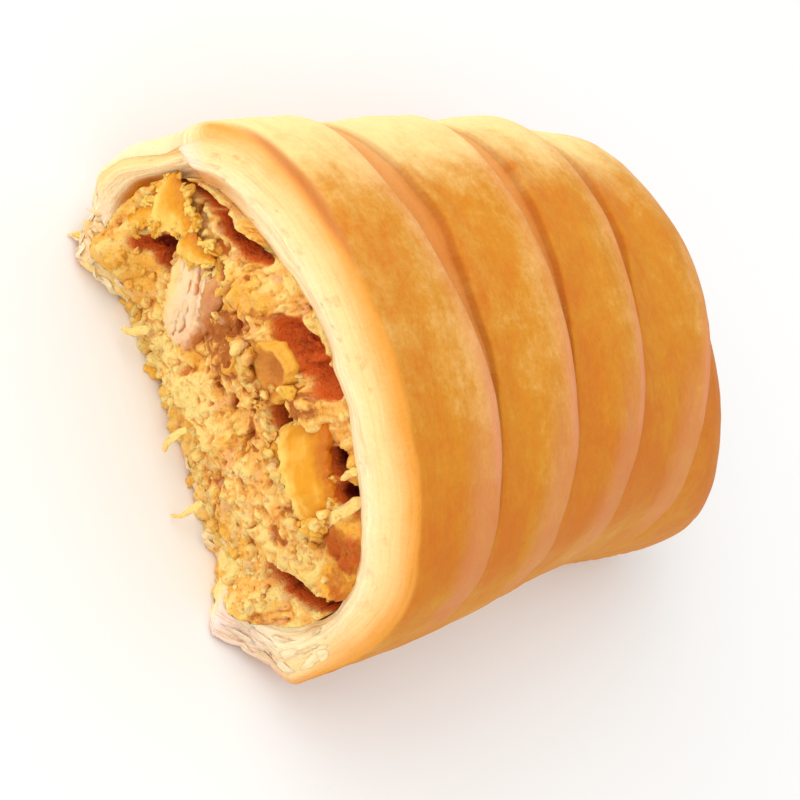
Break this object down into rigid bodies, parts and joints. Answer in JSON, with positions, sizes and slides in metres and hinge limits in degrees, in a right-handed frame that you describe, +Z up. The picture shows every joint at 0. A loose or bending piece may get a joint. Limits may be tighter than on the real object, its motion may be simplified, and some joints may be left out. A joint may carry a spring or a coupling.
{
  "type": "savoury strudel",
  "caption": "Piece of a savoury strudel: puffed golden pastry with slits across its lid, torn open at one end to show a chunky meat and mushroom filling.",
  "frame": {"origin": "middle of the whole piece, on the plane that its flat base rests on", "axes": "+Z up; +X along the loaf, from the torn end to the closed end; Y across it"},
  "size_m": [0.0876, 0.0642, 0.0381],
  "materials": {
    "baked_pastry": "egg-washed golden crust over pale laminated dough",
    "filling": "moist, coarse, yellow with pale and brown pieces"
  },
  "bodies": {
    "root": {"pastry_crust": "baked_pastry", "filling": "filling"}
  },
  "joints": []
}
